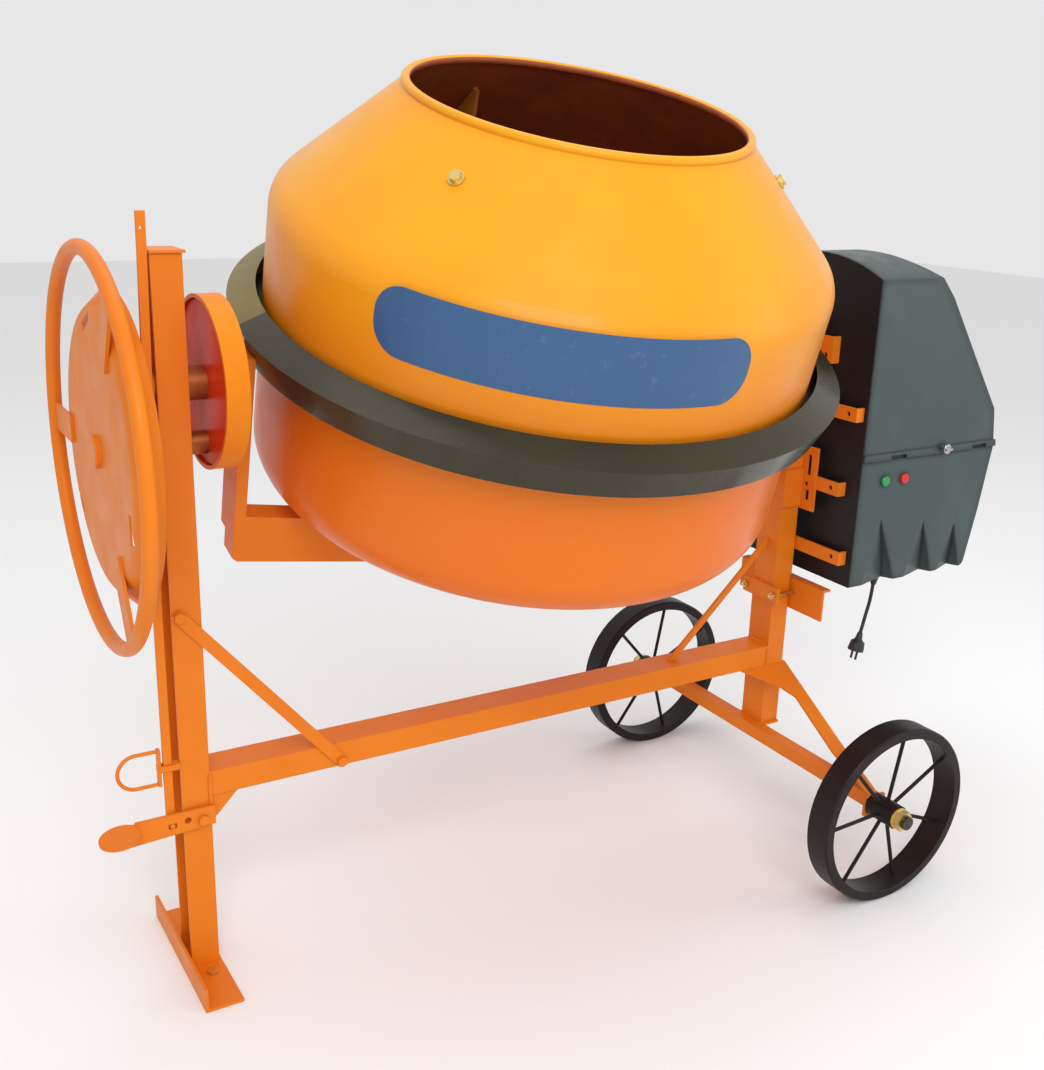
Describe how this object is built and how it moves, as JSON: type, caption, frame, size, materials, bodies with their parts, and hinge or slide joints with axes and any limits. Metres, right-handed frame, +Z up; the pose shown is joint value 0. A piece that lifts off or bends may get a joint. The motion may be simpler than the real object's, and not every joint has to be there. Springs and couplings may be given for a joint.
{
  "type": "concrete mixer",
  "caption": "Tilting-drum concrete mixer on a two-wheel frame with a geared handwheel, foot lock, ring-gear guard and an electric belt drive in a side housing.",
  "frame": {"origin": "on the floor at the front inner corner of the left column, on the foot's sole", "axes": "+X along the main beam towards the motor box, -Y towards the loading side, +Z up"},
  "size_m": [1.7543, 0.9734, 1.4388],
  "materials": {
    "frame_paint": "semi-gloss orange enamel, worn at edges",
    "drum_paint": "semi-gloss yellow-orange enamel",
    "gear_paint": "semi-gloss red-orange enamel",
    "guard_paint": "satin dark olive enamel",
    "guard_black": "glossy near-black enamel",
    "wheel_paint": "satin black enamel",
    "grey_paint": "satin dark grey enamel",
    "plate_steel": "satin black enamel",
    "steel": "machined",
    "zinc": "yellow zinc plate",
    "bronze": "machined bearing bronze",
    "iron": "as cast, teeth machined",
    "box_plastic": "dark grey-green moulded plastic, fine grain",
    "belt_rubber": "matte",
    "cord_rubber": "matte",
    "plug_plastic": "moulded",
    "button_green": "glossy",
    "button_red": "glossy"
  },
  "bodies": {
    "frame": {"left_column": "frame_paint", "foot_angle": "frame_paint", "main_beam": "frame_paint", "left_strap_brace": "frame_paint", "right_brace": "frame_paint", "right_lower_column": "frame_paint", "right_upper_column": "frame_paint", "clamp_bar": "frame_paint", "clamp_angle": "frame_paint", "clamp_bolts": "zinc", "axle_beam": "frame_paint", "axle_braces": "frame_paint", "frame_bolts": "frame_paint", "tilt_bearing": "bronze", "handwheel_bearing": "bronze", "drive_bearing": "bronze", "bearing_plate": "frame_paint", "box_tabs": "frame_paint", "bar_guide": "frame_paint", "box_back_plate": "plate_steel", "box_base": "box_plastic", "motor": "grey_paint", "drive_belt": "belt_rubber", "cable_gland": "plug_plastic", "power_cord": "cord_rubber", "cord_plug": "plug_plastic", "axle_nuts": "zinc", "gear_cover": "gear_paint", "foot_bolts": "zinc"},
    "lock_bar": {"lock_bar": "frame_paint"},
    "pedal": {"lock_pedal": "frame_paint"},
    "handwheel": {"handwheel_rim": "frame_paint", "handwheel_spokes": "frame_paint", "handwheel_disc": "frame_paint", "handwheel_shaft": "steel", "tilt_pinion": "iron"},
    "yoke": {"tilt_gear": "gear_paint", "yoke_left": "frame_paint", "yoke_right": "frame_paint", "yoke_housing": "frame_paint", "spindle_bearings": "steel", "gear_guard_rear": "guard_paint", "gear_guard_front": "guard_black", "guard_bolts": "zinc"},
    "drum": {"drum_lower": "drum_paint", "drum_upper": "drum_paint", "ring_gear": "iron", "drum_shaft": "steel", "paddles": "drum_paint", "paddle_bolts": "zinc"},
    "drive": {"drive_shaft": "steel", "drive_pinion": "iron", "large_pulley": "iron"},
    "motor_rotor": {"motor_pulley": "iron"},
    "front_wheel": {"front_wheel": "wheel_paint"},
    "rear_wheel": {"rear_wheel": "wheel_paint"},
    "lid": {"box_lid": "box_plastic"},
    "knob": {"lid_knob": "steel"},
    "start_button": {"start_button": "button_green"},
    "stop_button": {"stop_button": "button_red"}
  },
  "joints": [
    {"name": "tilt", "type": "hinge", "parent": "frame", "child": "yoke", "pos_m": [0, 0.03, 0.959], "axis": [1, 0, 0], "range_deg": [-39.27, 104.73]},
    {"name": "drum_spin", "type": "hinge", "parent": "yoke", "child": "drum", "pos_m": [0.585, 0.03, 0.959], "axis": [0, -0.2807, 0.9598], "continuous": true},
    {"name": "drive_spin", "type": "hinge", "parent": "yoke", "child": "drive", "pos_m": [1.1, 0.03, 0.959], "axis": [1, 0, 0], "continuous": true},
    {"name": "motor_spin", "type": "hinge", "parent": "frame", "child": "motor_rotor", "pos_m": [1.246, 0.03, 0.6], "axis": [1, 0, 0], "continuous": true},
    {"name": "handwheel_turn", "type": "hinge", "parent": "frame", "child": "handwheel", "pos_m": [-0.128, 0.03, 0.871], "axis": [1, 0, 0], "range_deg": [-200, 530]},
    {"name": "front_wheel_spin", "type": "hinge", "parent": "frame", "child": "front_wheel", "pos_m": [1.124, -0.366, 0.168], "axis": [0, 1, 0], "continuous": true},
    {"name": "rear_wheel_spin", "type": "hinge", "parent": "frame", "child": "rear_wheel", "pos_m": [1.124, 0.35, 0.168], "axis": [0, 1, 0], "continuous": true},
    {"name": "pedal_press", "type": "hinge", "parent": "frame", "child": "pedal", "pos_m": [-0.016, -0.0065, 0.275], "axis": [0, -1, 0], "range_deg": [0, 12], "stiffness_Nm_per_rad": 8, "springref_deg": -20.05},
    {"name": "lock_slide", "type": "slide", "parent": "frame", "child": "lock_bar", "axis": [0, 0, 1], "range_m": [-0.0115, 0]},
    {"name": "lid_lift", "type": "slide", "parent": "frame", "child": "lid", "axis": [0, 0, 1], "range_m": [0, 0.36]},
    {"name": "knob_turn", "type": "hinge", "parent": "lid", "child": "knob", "pos_m": [1.424, -0.131, 0.762], "axis": [0, 1, 0], "range_deg": [0, 90]},
    {"name": "start_press", "type": "slide", "parent": "frame", "child": "start_button", "axis": [0, 1, 0], "range_m": [0, 0.004], "stiffness_N_per_m": 400},
    {"name": "stop_press", "type": "slide", "parent": "frame", "child": "stop_button", "axis": [0, 1, 0], "range_m": [0, 0.004], "stiffness_N_per_m": 400}
  ],
  "couplings": [
    {"joint": "drive_spin", "follows": "drum_spin", "ratio": -15.333},
    {"joint": "motor_spin", "follows": "drum_spin", "ratio": -65.731},
    {"joint": "handwheel_turn", "follows": "tilt", "ratio": 5},
    {"joint": "lock_slide", "follows": "pedal_press", "m_per_rad": -0.048}
  ]
}
